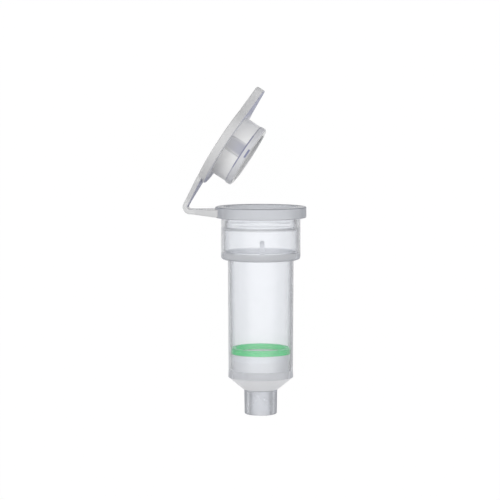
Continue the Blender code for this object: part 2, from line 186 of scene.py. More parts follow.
@dataclass(frozen=True)
class MouldedPlastic(Finish):
    """Polypropylene as it leaves a polished mould: clear where it is thin, cloudy where it is thick.

    Clear and cloudy each give a colour, how much light goes through, and a roughness. Where the mesh's notes
    ask for it, the cloudy colour also paints shade and a dark reflection.
    """

    clear: tuple[str, float, float]
    cloudy: tuple[str, float, float]
    pale: str
    lamp_share: float
    edge_haze: float = 0.0
    haze_from: float = 0.55
    gloss: float = 0.5
    dull_gloss: float = 0.1
    drift: float = 0.05
    drift_mm: float = 2.381
    ripple_mm: float = 1.6
    ripple_depth_mm: float = 0.0012
    dye: Triple | None = None
    ior: float = 1.49

    def shade(self, tree: NodeTree, place: NodeSocket) -> dict[str, Node]:
        """Adds a glossy wall that follows the mesh's notes of cloudiness and paleness, painted shade
        included.

        Args:
            tree: The material's nodes.
            place: Object coordinates.

        Returns:
            The surface, and the volume of a dyed plastic.
        """
        # Slow waves of the polished mould bend what is seen through the wall a little.
        noise = {"Vector": place, "Scale": 1 / (self.ripple_mm * MM), "Detail": 2.0}
        waves = add(tree, "ShaderNodeTexNoise", noise)
        bump = add(tree, "ShaderNodeBump", {"Height": waves, "Distance": self.ripple_depth_mm * MM})
        # Thick plastic scatters light on its crystals. How thick it is comes with the mesh, and the same note
        # also paints shade and a dark reflection in places.
        thick = add(tree, "ShaderNodeAttribute", attribute_name=CLOUD_AND_SHADE).outputs["Fac"]
        noise = {"Vector": place, "Scale": 1 / (self.drift_mm * MM), "Detail": 3.0}
        drift = add(tree, "ShaderNodeTexNoise", noise)
        cloud = add(tree, "ShaderNodeMath", {0: drift, 1: self.drift, 2: thick}, operation="MULTIPLY_ADD")
        # A wall met at a slant is a longer way through, and so looks cloudier.
        slant = add(tree, "ShaderNodeLayerWeight", {"Blend": 0.5}).outputs["Facing"]
        steps = {"Value": slant, "From Min": self.haze_from, "To Max": self.edge_haze}
        haze = add(tree, "ShaderNodeMapRange", steps)
        cloud = add(tree, "ShaderNodeMath", {0: cloud, 1: haze}, operation="ADD", use_clamp=True)
        ends = [*zip(self.clear[1:], self.cloudy[1:]), (self.gloss, self.dull_gloss)]
        steps = [{"Value": cloud, "To Min": low, "To Max": high} for low, high in ends]
        clearness, rough, gloss = [add(tree, "ShaderNodeMapRange", step) for step in steps]
        # The mix isn't clamped, so a paleness below zero darkens the cloudy plastic, as the painted shade on
        # the flange's rim does.
        milk = add(tree, "ShaderNodeAttribute", attribute_name=PALE_AND_SHADE).outputs["Fac"]
        tones = {0: milk, 6: srgb(self.cloudy[0]), 7: srgb(self.pale)}
        body = add(tree, "ShaderNodeMix", tones, data_type="RGBA", clamp_factor=False).outputs[2]
        tones = {0: cloud, 6: srgb(self.clear[0]), 7: body}
        colour = add(tree, "ShaderNodeMix", tones, data_type="RGBA").outputs[2]
        looks = {
            "Base Color": colour,
            "Roughness": rough,
            "Transmission Weight": clearness,
            "IOR": self.ior,
            "Specular IOR Level": gloss,
            "Normal": bump,
        }
        plastic = add(tree, "ShaderNodeBsdfPrincipled", looks)
        # Lamps shine on through the thin wall, as they do through real moulded plastic.
        shadow = add(tree, "ShaderNodeLightPath").outputs["Is Shadow Ray"]
        tint = [self.lamp_share * part for part in srgb(self.clear[0])[:3]]
        through = add(tree, "ShaderNodeBsdfTransparent", {"Color": (*tint, 1.0)})
        surface = add(tree, "ShaderNodeMixShader", {0: shadow, 1: plastic, 2: through})
        if not self.dye:
            return {"Surface": surface}
        strength = max(self.dye)
        passed = (*[1 - part / strength for part in self.dye], 1.0)
        dye = add(tree, "ShaderNodeVolumeAbsorption", {"Color": passed, "Density": strength / MM})
        return {"Surface": surface, "Volume": dye}


@dataclass(frozen=True)
class PowderOrFibre(Finish):
    """A dull white solid with a fine grain: sintered plastic, or a mat of glass fibre."""

    pale: str
    deep: str
    grain_mm: float
    depth_mm: float
    stretch: Triple = (1.0, 1.0, 1.0)
    roughness: float = 0.9
    ior: float = 1.46

    def shade(self, tree: NodeTree, place: NodeSocket) -> dict[str, Node]:
        """Adds a dull surface with a grain in its colour and its height.

        Args:
            tree: The material's nodes.
            place: Object coordinates.

        Returns:
            The surface.
        """
        # The stretch turns round grains into fibres that lie flat.
        mapped = add(tree, "ShaderNodeMapping", {"Vector": place, "Scale": self.stretch})
        noise = {"Vector": mapped, "Scale": 1 / (self.grain_mm * MM), "Detail": 5.0, "Roughness": 0.65}
        grain = add(tree, "ShaderNodeTexNoise", noise)
        tones = {0: grain, 6: srgb(self.deep), 7: srgb(self.pale)}
        colour = add(tree, "ShaderNodeMix", tones, data_type="RGBA").outputs[2]
        bump = add(tree, "ShaderNodeBump", {"Height": grain, "Distance": self.depth_mm * MM})
        looks = {"Base Color": colour, "Roughness": self.roughness, "Normal": bump, "IOR": self.ior}
        return {"Surface": add(tree, "ShaderNodeBsdfPrincipled", looks)}


@dataclass(frozen=True)
class StudioFloor(Finish):
    """White light table: pure white from above, dimmer at a slant and far out, so clear edges show."""

    white: str
    far: str
    white_to_mm: float = 52.0
    grey_from_mm: float = 90.0
    slant_from: float = 0.03
    slant_to: float = 0.22
    dimmest: float = 0.12
    glow: float = 0.985

    def shade(self, tree: NodeTree, place: NodeSocket) -> dict[str, Node]:
        """Adds a table that takes shadows, and that the camera and clear plastic see lit from below.

        Args:
            tree: The material's nodes.
            place: Object coordinates.

        Returns:
            The surface.
        """
        ease = "SMOOTHSTEP"
        away = add(tree, "ShaderNodeVectorMath", {0: place}, operation="LENGTH").outputs["Value"]
        steps = {"Value": away, "From Min": self.white_to_mm * MM, "From Max": self.grey_from_mm * MM}
        share = add(tree, "ShaderNodeMapRange", steps, interpolation_type=ease)
        tones = {0: share, 6: srgb(self.white), 7: srgb(self.far)}
        colour = add(tree, "ShaderNodeMix", tones, data_type="RGBA").outputs[2]
        # The louvre film of a light table lets light out upwards and holds it back at a slant.
        slant = add(tree, "ShaderNodeLayerWeight", {"Blend": 0.5}).outputs["Facing"]
        steps = {"Value": slant, "From Min": self.slant_from, "From Max": self.slant_to}
        steps |= {"To Min": 1.0, "To Max": self.dimmest}
        louvre = add(tree, "ShaderNodeMapRange", steps, interpolation_type=ease)
        ray = add(tree, "ShaderNodeLightPath")
        seen = ray.outputs["Is Camera Ray"]
        level = add(tree, "ShaderNodeMath", {0: louvre, 1: seen}, operation="MAXIMUM")
        tones = {0: seen, 6: colour, 7: srgb(self.white)}
        shown = add(tree, "ShaderNodeMix", tones, data_type="RGBA").outputs[2]
        lit = add(tree, "ShaderNodeEmission", {"Color": shown, "Strength": level})
        table = add(tree, "ShaderNodeBsdfDiffuse", {"Color": colour})
        for other in ("Is Glossy Ray", "Is Transmission Ray"):
            rays = {0: seen, 1: ray.outputs[other]}
            seen = add(tree, "ShaderNodeMath", rays, operation="ADD", use_clamp=True)
        lit_share = add(tree, "ShaderNodeMath", {0: seen, 1: self.glow}, operation="MULTIPLY")
        return {"Surface": add(tree, "ShaderNodeMixShader", {0: lit_share, 1: table, 2: lit})}


FINISHES = {
    # Clear grade from a polished mould: glassy where it is thin, grey and hazy where it is thick.
    Slot.CLEAR: MouldedPlastic(
        "clear moulded polypropylene",
        clear=("F9FAFC", 0.97, 0.03),
        cloudy=("A8AAAF", 0.15, 0.35),
        pale="ECECED",
        lamp_share=1.0,
        edge_haze=1.0,
        haze_from=0.45,
    ),
    # The same plastic, milky all through: soft, pale and dull. Its dark bluish cloudy colour paints shade on
    # the lid's inner face and a dark reflection on the plug.
    Slot.MILKY: MouldedPlastic(
        "milky moulded polypropylene",
        clear=("D6D6D6", 0.25, 0.24),
        cloudy=("6C7090", 0.0, 0.5),
        pale="EEEEEE",
        lamp_share=0.45,
        dull_gloss=0.0,
        ripple_depth_mm=0.003,
    ),
    # Dyed through: a light green that deepens where the light goes through more of it.
    Slot.GREEN: MouldedPlastic(
        "green dyed polypropylene",
        clear=("58E898", 0.6, 0.1),
        cloudy=("00F48C", 0.05, 0.3),
        pale="00F48C",
        lamp_share=0.7,
        edge_haze=1.0,
        haze_from=0.15,
        dye=(0.8, 0.04, 0.36),
    ),
    # A pressed mat: plain white, with a faint grain of fibres that lie flat.
    Slot.SILICA: PowderOrFibre("pressed silica fibre mat", "FFFFFF", "F2F3F4", 0.22, 0.02, (0.35, 0.35, 2.5)),
    # Beads fused into a disc: white, rough and finely pitted.
    Slot.POROUS: PowderOrFibre("sintered polyethylene beads", "FFFFFF", "E8E8E7", 0.16, 0.03),
}


# Meshes.


def rounded(corners: list[Triple], steps: int = 8) -> list[Vector]:
    """The outline through corners, with an arc at each one that has a radius.

    Args:
        corners: (x, y, radius) in mm.
        steps: Pieces in each arc.

    Returns:
        The outline's points.
    """
    outline = []
    for index, (x, y, radius) in enumerate(corners):
        corner = Vector((x, y))
        if radius <= 0:
            outline.append(corner)
            continue
        before = Vector(corners[index - 1][:2]) - corner
        after = Vector(corners[(index + 1) % len(corners)][:2]) - corner
        half = before.angle(after) / 2
        reach = min(radius / math.tan(half), ARC_SHARE * before.length, ARC_SHARE * after.length)
        held = reach * math.tan(half)
        centre = corner + (before.normalized() + after.normalized()).normalized() * held / math.sin(half)
        start = corner + before.normalized() * reach - centre
        end = corner + after.normalized() * reach - centre
        sweep = math.atan2(start.cross(end), start.dot(end))
        for step in range(steps + 1):
            outline.append(centre + start @ Matrix.Rotation(-sweep * step / steps, 2))
    return outline


def lathe(section: list[Vector], facets: int, closed: bool = True) -> BMesh:
    """Turns a section of (radius, height) points about the Z axis.

    Args:
        section: The section's points in mm.
        facets: Facets round the axis.
        closed: Whether the last point joins the first, or both stand on the axis.

    Returns:
        The turned mesh in mm.
    """
    work = bmesh.new()
    points = [work.verts.new((radius, 0.0, height)) for radius, height in section]
    edges = [work.edges.new(pair) for pair in zip(points, points[1:])]
    if closed:
        edges.append(work.edges.new((points[-1], points[0])))
    about = {"cent": (0.0, 0.0, 0.0), "axis": (0.0, 0.0, 1.0), "angle": math.tau}
    bmesh.ops.spin(work, geom=points + edges, steps=facets, use_merge=True, **about)
    return work


def prism(outline: list[Vector], low: float, high: float, place: Matrix | None = None) -> BMesh:
    """Extrudes a flat outline between two levels.

    Args:
        outline: The outline in the XY plane, in mm.
        low: Lower level.
        high: Upper level.
        place: Where the block goes.

    Returns:
        The block in mm.
    """
    work = bmesh.new()
    face = work.faces.new([work.verts.new((x, y, low)) for x, y in outline])
    lifted = bmesh.ops.extrude_face_region(work, geom=[face])["geom"]
    tops = [item for item in lifted if isinstance(item, BMVert)]
    bmesh.ops.translate(work, verts=tops, vec=(0.0, 0.0, high - low))
    if place:
        bmesh.ops.transform(work, matrix=place, verts=work.verts)
    return work


def put_in_order(work: BMesh) -> None:
    """Sorts a mesh's points and faces by their place, because merging leaves their order to chance.

    Args:
        work: The mesh in mm.
    """
    for items in (work.verts, work.faces):
        items.index_update()
        spots = [item.co if isinstance(item, BMVert) else item.calc_center_median() for item in items]
        keys = [[round(part, SORT_DIGITS) for part in spot] for spot in spots]
        ranks = {index: rank for rank, index in enumerate(sorted(range(len(keys)), key=keys.__getitem__))}
        items.sort(key=lambda item: ranks[item.index])


def put(name: str, data: Mesh | Light | Camera) -> Object:
    """Adds an object with this data to the scene.

    Args:
        name: The object's name.
        data: What the object shows.

    Returns:
        The object, which sits at the origin.
    """
    made = bpy.data.objects.new(name, data)
    bpy.context.scene.collection.objects.link(made)
    return made


def solid(name: str, work: BMesh, place: Matrix, material: Material | None) -> Object:
    """Closes a mesh drawn in mm and puts it in its place in the frame.

    Args:
        name: The object's name.
        work: The mesh, which is used up.
        place: From the mesh's millimetres to the frame.
        material: Its material, or none for a shape that only cuts or joins.

    Returns:
        The object, which sits at the origin.
    """
    bmesh.ops.remove_doubles(work, verts=work.verts, dist=MERGE_MM)
    put_in_order(work)
    bmesh.ops.transform(work, matrix=place, verts=work.verts)
    bmesh.ops.recalc_face_normals(work, faces=work.faces)
    data = bpy.data.meshes.new(name)
    work.to_mesh(data)
    work.free()
    if material:
        data.materials.append(material)
    return put(name, data)


def bake(target: Object) -> Object:
    """Turns what the modifiers make into the object's own mesh, and drops them.

    Args:
        target: The object.

    Returns:
        The same object, as plain mesh.
    """
    ready = target.evaluated_get(bpy.context.evaluated_depsgraph_get())
    data = bpy.data.meshes.new_from_object(ready)
    target.modifiers.clear()
    target.data = data
    return target


def combine(target: Object, tools: list[Object], operation: str) -> None:
    """Joins shapes to an object or cuts them away, and removes them.

    Args:
        target: The object that stays.
        tools: The shapes.
        operation: UNION or DIFFERENCE.
    """
    for tool in tools:
        step = target.modifiers.new(tool.name, "BOOLEAN")
        step.operation = operation
        step.solver = "EXACT"
        step.object = tool
        bake(target)
        bpy.data.objects.remove(tool, do_unlink=True)


def smooth(target: Object) -> None:
    """Shades an object smooth apart from its sharp edges."""
    target.data.shade_smooth()
    target.data.set_sharp_from_angle(angle=SMOOTH_BELOW)


def note_looks(target: Object, look: Callable[[Vector, Vector, Vector], Look], inverse: Matrix) -> None:
    """Notes on every corner of a mesh how cloudy and how pale its plastic looks there, painted shade and a
    painted dark reflection included.

    Args:
        target: The object.
        look: Gives cloudiness and paleness for a face's middle and normal and one corner of it.
        inverse: From the frame to the coordinates that look uses.
    """
    layers = [target.data.attributes.new(name, "FLOAT", "CORNER").data for name in (CLOUD_AND_SHADE, PALE_AND_SHADE)]
    points = [inverse @ point.co for point in target.data.vertices]
    turn = inverse.to_3x3().normalized()
    for face in target.data.polygons:
        middle, normal = inverse @ face.center, turn @ face.normal
        for corner in face.loop_indices:
            looks = look(middle, normal, points[target.data.loops[corner].vertex_index])
            for layer, value in zip(layers, looks):
                layer[corner].value = value


# Geometry nodes.


@dataclass
class NodeRule:
    """A Geometry Nodes tree with named inputs, run once and baked."""

    name: str
    inputs: dict[str, tuple[str, object]] = field(default_factory=dict)

    def rule(self, tree: NodeTree, given: Node) -> Node:
        """Adds the rule's nodes, and returns the one whose first output is the geometry."""
        raise NotImplementedError

    def run(self, target: Object, material: Material) -> Object:
        """Builds the tree, sets its inputs, and bakes the result.

        Args:
            target: The object that the rule works on.
            material: What every face gets.

        Returns:
            The object, as plain mesh.
        """
        tree = bpy.data.node_groups.new(self.name, "GeometryNodeTree")
        inputs = self.inputs | {"Finish": ("NodeSocketMaterial", material)}
        for side in ("INPUT", "OUTPUT"):
            tree.interface.new_socket("Geometry", in_out=side, socket_type="NodeSocketGeometry")
        sockets = {
            label: tree.interface.new_socket(label, in_out="INPUT", socket_type=kind)
            for label, (kind, _) in inputs.items()
        }
        given = add(tree, "NodeGroupInput")
        plain = add(tree, "GeometryNodeRealizeInstances", {"Geometry": self.rule(tree, given)})
        dress = {"Geometry": plain, "Material": given.outputs["Finish"]}
        add(tree, "NodeGroupOutput", {"Geometry": add(tree, "GeometryNodeSetMaterial", dress)})
        step = target.modifiers.new(self.name, "NODES")
        step.node_group = tree
        for label, (_, value) in inputs.items():
            step[sockets[label].identifier] = value
        return bake(target)


@dataclass
class RingOfCopies(NodeRule):
    """Copies of one shape, turned evenly about the axis."""

    def rule(self, tree: NodeTree, given: Node) -> Node:
        """Puts one copy on each of Count points, each turned one pitch further.

        Args:
            tree: The rule's nodes.
            given: The group's inputs.

        Returns:
            The node that makes the copies.
        """
        points = add(tree, "GeometryNodePoints", {"Count": given.outputs["Count"]})
        index = add(tree, "GeometryNodeInputIndex")
        pitch = add(tree, "ShaderNodeMath", {0: math.tau, 1: given.outputs["Count"]}, operation="DIVIDE")
        turns = {0: index, 1: pitch, 2: given.outputs["First Turn"]}
        turn = add(tree, "ShaderNodeMath", turns, operation="MULTIPLY_ADD")
        spin = add(tree, "ShaderNodeCombineXYZ", {"Z": turn})
        copies = {"Points": points, "Instance": given.outputs["Geometry"], "Rotation": spin}
        return add(tree, "GeometryNodeInstanceOnPoints", copies)


@dataclass
class Scattered(NodeRule):
    """Small copies of one shape, strewn over a surface and turned at random, with the surface kept."""

    def rule(self, tree: NodeTree, given: Node) -> Node:
        """Strews the copies by area, and joins them to the surface.

        Args:
            tree: The rule's nodes.
            given: The group's inputs.

        Returns:
            The node that joins surface and copies.
        """
        surface, seed = given.outputs["Geometry"], given.outputs["Seed"]
        spread = {"Mesh": surface, "Density": given.outputs["Density"], "Seed": seed}
        spots = add(tree, "GeometryNodeDistributePointsOnFaces", spread)
        copy = {"Object": given.outputs["Copy"]}
        shape = add(tree, "GeometryNodeObjectInfo", copy, transform_space="ORIGINAL")
        turns = {0: (0.0, 0.0, 0.0), 1: (0.0, 0.0, math.tau), "Seed": seed}
        turn = add(tree, "FunctionNodeRandomValue", turns, data_type="FLOAT_VECTOR")
        spin = {0: spots.outputs["Rotation"], 1: turn}
        spun = add(tree, "FunctionNodeRotateRotation", spin, rotation_space="LOCAL")
        sizes = {2: given.outputs["Least Size"], 3: 1.0, "Seed": seed}
        size = add(tree, "FunctionNodeRandomValue", sizes, data_type="FLOAT").outputs[1]
        laid = {"Points": spots, "Instance": shape.outputs["Geometry"], "Rotation": spun, "Scale": size}
        copies = add(tree, "GeometryNodeInstanceOnPoints", laid)
        whole = add(tree, "GeometryNodeJoinGeometry", {0: surface})
        tree.links.new(copies.outputs[0], whole.inputs[0])
        return whole


# The frame of the column.


@dataclass(frozen=True)
class ColumnFrame:
    """Where the column lies: height 0 is the flange's top, +Z leaves the mouth, -X leads to the lid.

    Both placements go from millimetres to the frame, and the hinge's axis is in the column's millimetres.
    """

    column: Matrix
    lid: Matrix
    hinge: Vector
    open_angle: float

    @staticmethod
    def read(loaded: dict) -> "ColumnFrame":
        """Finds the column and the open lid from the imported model.

        Args:
            loaded: What the frame gives.

        Returns:
            The placements.
        """
        rim = next(mount for mount in loaded["record"]["mounts"] if mount["name"] == "mouth_rim")
        joint = next(joint for joint in loaded["joints"] if joint["name"] == "lid_hinge")
        up = Vector(rim["axis"]).normalized()
        low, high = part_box("retaining_ring")
        centre = (low + high) / 2
        top = centre + up * (Vector(rim["pos_m"]) - centre).dot(up)
        away = -Vector(joint["axis"]).normalized()
        side = away.cross(up).normalized()
        away = up.cross(side)
        column = Matrix((side, away, up)).transposed().to_4x4()
        column.translation = top
        column = column @ Matrix.Scale(MM, 4)
        pivot = Vector(joint["pos_m"])
        open_angle = math.radians(-joint["range_deg"][0])
        swing = Matrix.Rotation(open_angle, 4, Vector(joint["axis"]))
        lid = Matrix.Translation(pivot) @ swing @ Matrix.Translation(-pivot) @ column
        return ColumnFrame(column, lid, column.inverted() @ pivot, open_angle)


# The pieces.


@dataclass
class ColumnShell:
    """The clear moulding without its strap and lid: flange, collar, barrel, cone and nozzle. Sizes in mm.

    Clouds lists the wall's look down the column, as (height, cloudiness, paleness).
    """

    facets: int = 224
    flange_radius: float = 6.2
    flange_thickness: float = 1.5
    flange_edge: float = 0.15
    mouth_radius: float = 4.65
    mouth_land: float = 2.75
    lead_in_width: float = 0.3
    lead_in_height: float = 2.1
    lip_blend: float = 0.6
    collar_radius: float = 5.4
    collar_wall: float = 0.4
    collar_length: float = 5.7
    collar_corner: float = 0.5
    chamber_lip: float = 0.3
    chamber_floor_slope: float = 0.8
    chamber_floor_thickness: float = 0.2
    chamber_floor_blends: Pair = (0.25, 0.35)
    barrel_top_radius: float = 4.475
    barrel_top_blend: float = 0.08
    barrel_low_radius: float = 4.4
    barrel_flare_radius: float = 4.44
    barrel_flare_rise: float = 1.0
    barrel_flare_blend: float = 0.5
    barrel_wall: float = 0.32
    barrel_length: float = 16.1
    bore_foot_blend: float = 0.05
    ledge_rise: float = 0.9
    ledge_width: float = 0.45
    ledge_edge: float = 0.08
    cone_length: float = 1.8
    cone_wall: float = 0.6
    cone_root: float = 0.35
    fine_edge: float = 0.06
    funnel_blends: Pair = (0.4, 0.15)
    nozzle_radius: float = 2.25
    nozzle_tip_radius: float = 2.2
    nozzle_length: float = 3.3
    nozzle_bore_radius: float = 1.3
    nozzle_edge: float = 0.22
    rib_count: int = 8
    rib_thickness: float = 0.34
    rib_drop: float = 0.06
    rib_bite: float = 0.14
    rib_gap_radius: float = 1.6
    pip_width: float = 0.62
    pip_depth: float = 0.28
    pip_rise: float = 1.9
    pip_buried: float = 0.45
    pip_turn: float = math.radians(-82)
    pip_cloud: float = 0.8
    pip_fade: Pair = (0.16, 0.56)
    rim_cloud: float = 0.9
    # Painted shade on the flange's rim: its paleness from one side to the other, and the length of that fade
    # in mm.
    rim_painted_shade: Pair = (0.6, -0.35)
    rim_painted_shade_fade: float = 2.375
    rim_width: float = 0.12
    lead_in_look: Look = (0.2, 0.0)
    lead_in_reach: float = 0.35
    middle_share: float = 0.7
    clouds: tuple[Triple, ...] = (
        (-1.5, 0.75, 0.0), (-1.6, 0.12, 0.6), (-2.7, 0.08, 0.6), (-2.8, 0.7, 0.8),
        (-3.05, 0.7, 0.8), (-3.15, 0.04, 0.3), (-5.85, 0.06, 0.3), (-6.05, 0.5, 0.15),
        (-7.2, 0.6, 0.0), (-8.0, 0.03, 0.2), (-19.0, 0.03, 0.0), (-19.3, 0.0, 0.0),
        (-22.1, 0.0, 0.0), (-22.4, 0.55, 0.3), (-23.2, 0.75, 0.0), (-23.5, 0.9, 0.9),
        (-24.4, 0.9, 0.8), (-24.9, 0.85, 0.1), (-25.3, 0.3, -0.4),
    )

    def __post_init__(self) -> None:
        """Works out the levels that follow from the sizes."""
        self.collar_foot = -self.flange_thickness - self.collar_length
        self.chamber_radius = self.collar_radius - self.collar_wall
        self.floor_low = self.collar_foot + self.chamber_floor_thickness
        self.floor_top = self.floor_low + self.chamber_floor_slope
        self.barrel_foot = self.collar_foot - self.barrel_length
        self.ledge = self.barrel_foot + self.ledge_rise
        self.bore_top = self.barrel_top_radius - self.barrel_wall
        self.bore_low = self.barrel_low_radius - self.barrel_wall
        self.cone_foot = self.barrel_foot - self.cone_length
        self.nozzle_end = self.cone_foot - self.nozzle_length
        self.funnel_radius = self.bore_low - self.ledge_width
        run = self.barrel_flare_radius - self.nozzle_radius
        self.cone_pitch = self.cone_length / run
        across = self.cone_wall * math.hypot(run, self.cone_length) / self.cone_length
        step = self.barrel_flare_radius - across - self.funnel_radius
        self.funnel_top = self.barrel_foot - step * self.cone_pitch
        self.funnel_foot = self.funnel_top - (self.funnel_radius - self.nozzle_bore_radius) * self.cone_pitch

    def look(self, middle: Vector, normal: Vector, corner: Vector) -> Look:
        """How cloudy and how pale the wall looks at one corner of a face.

        Args:
            middle: The face's middle, in the column's mm.
            normal: The face's normal.
            corner: The corner.

        Returns:
            Cloudiness, and paleness, which darkens below zero and paints shade on the flange's rim.
        """
        radius = math.hypot(middle.x, middle.y)
        pale, dark = self.rim_painted_shade
        # Painted shade: the rim's top goes from pale to dark across it as y grows, and its outer fillet is
        # painted as a dark line all round.
        if normal.z > LEVEL_UP and middle.z > -TOUCH_MM:
            return self.rim_cloud, pale + (dark - pale) * ramp(corner.y, 0.0, self.rim_painted_shade_fade)
        if middle.z > -self.rim_width and radius > self.flange_radius - self.rim_width:
            return self.rim_cloud, dark
        over_floor = 0 < middle.z - self.floor_top < self.pip_rise + 2 * TOUCH_MM
        if over_floor and radius < self.chamber_radius - 2 * TOUCH_MM:
            return self.pip_cloud * ramp((corner.z - self.floor_top) / self.pip_rise, *self.pip_fade), 0.0
        if middle.z > -self.flange_thickness and radius < self.mouth_radius + self.lead_in_reach:
            return self.lead_in_look
        height = middle.z * self.middle_share + corner.z * (1 - self.middle_share)
        above, share, pale = 0.0, *self.clouds[0][1:]
        for level, cloud, milk in self.clouds:
            if height > level:
                way = (above - height) / (above - level)
                return share + (cloud - share) * way, pale + (milk - pale) * way
            above, share, pale = level, cloud, milk
        return share, pale

    def bore_radius(self, height: float) -> float:
        """The barrel bore at a height above the ledge."""
        share = (self.floor_low - height) / (self.floor_low - self.ledge)
        return self.bore_top + (self.bore_low - self.bore_top) * share

    def section(self) -> list[Vector]:
        """The wall, down its outside and back up its inside.

        Returns:
            The section's points, as (radius, height).
        """
        flange, collar, bore = self.flange_radius, self.collar_radius, self.nozzle_bore_radius
        low_blend, top_blend = self.chamber_floor_blends
        bore_blend, funnel_blend = self.funnel_blends
        corners = [
            (self.mouth_radius + self.lead_in_width, 0.0, self.flange_edge),
            (flange, 0.0, self.flange_edge),
            (flange, -self.flange_thickness, self.flange_edge),
            (collar, -self.flange_thickness, self.flange_edge),
            (collar, -self.mouth_land, 0.0),
            (collar, self.floor_top, 0.0),
            (collar, self.collar_foot, self.collar_corner),
            (self.barrel_top_radius, self.collar_foot, self.barrel_top_blend),
            (self.barrel_low_radius, self.barrel_foot + self.barrel_flare_rise, self.barrel_flare_blend),
            (self.barrel_flare_radius, self.barrel_foot, self.fine_edge),
            (self.nozzle_radius, self.cone_foot, self.cone_root),
            (self.nozzle_tip_radius, self.nozzle_end, self.nozzle_edge),
            (bore, self.nozzle_end, self.fine_edge),
            (bore, self.funnel_foot, bore_blend),
            (self.funnel_radius, self.funnel_top, funnel_blend),
            (self.funnel_radius, self.ledge, self.ledge_edge),
            (self.bore_low, self.ledge, self.bore_foot_blend),
            (self.bore_top, self.floor_low, low_blend),
            (self.chamber_radius, self.floor_top, top_blend),
            (self.chamber_radius, -self.mouth_land - self.chamber_lip, self.lip_blend),
            (self.mouth_radius, -self.mouth_land, self.lip_blend),
            (self.mouth_radius, -self.lead_in_height, self.lip_blend),
        ]
        return rounded(corners)

    def ribs(self, place: Matrix, material: Material) -> Object:
        """Ribs that stand in the funnel under the frit, copied round the axis.

        Args:
            place: The column's placement.
            material: Their material.

        Returns:
            The ribs as one mesh.
        """
        foot = self.funnel_top - (self.funnel_radius - self.rib_gap_radius) * self.cone_pitch
        crown = self.ledge - self.rib_drop
        outer = self.funnel_radius + self.rib_bite
        outline = [(self.rib_gap_radius, crown), (outer, crown), (outer, self.funnel_top)]
        outline.append((self.rib_gap_radius, foot - self.rib_bite))
        upright = Matrix.Rotation(math.pi / 2, 4, "X")
        half = self.rib_thickness / 2
        one = prism([Vector(point) for point in outline], -half, half, upright)
        made = solid("support_ribs", one, Matrix(), None)
        count = self.rib_count
        inputs = {"Count": ("NodeSocketInt", count), "First Turn": ("NodeSocketFloat", math.pi / count)}
        RingOfCopies("ring_of_ribs", inputs).run(made, material)
        made.data.transform(place)
        return made

    def pip(self, place: Matrix) -> Object:
        """The rounded rib on the chamber's wall, which rises from its floor.

        Args:
            place: The column's placement.

        Returns:
            The rib.
        """
        half = self.pip_width / 2
        foot, crown = self.floor_top - self.pip_buried, self.floor_top + self.pip_rise
        corners = [(-half, foot, 0.0), (half, foot, 0.0), (half, crown, half), (-half, crown, half)]
        out_along_x = Matrix(((0, 0, 1, 0), (1, 0, 0, 0), (0, 1, 0, 0), (0, 0, 0, 1)))
        turn = Matrix.Rotation(self.pip_turn, 4, "Z") @ out_along_x
        inner, outer = self.chamber_radius - self.pip_depth, self.chamber_radius + self.collar_wall / 2
        return solid("wall_pip", prism(rounded(corners), inner, outer, turn), place, None)

    def build(self, place: ColumnFrame, material: Material) -> Object:
        """Makes the shell and puts it on the column.

        Args:
            place: Where the column lies.
            material: The clear plastic.

        Returns:
            The shell.
        """
        shell = solid("column_shell", lathe(self.section(), self.facets), place.column, material)
        combine(shell, [self.ribs(place.column, material), self.pip(place.column)], "UNION")
        smooth(shell)
        note_looks(shell, self.look, place.column.inverted())
        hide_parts("column_body")
        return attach(shell, Body.COLUMN.value)


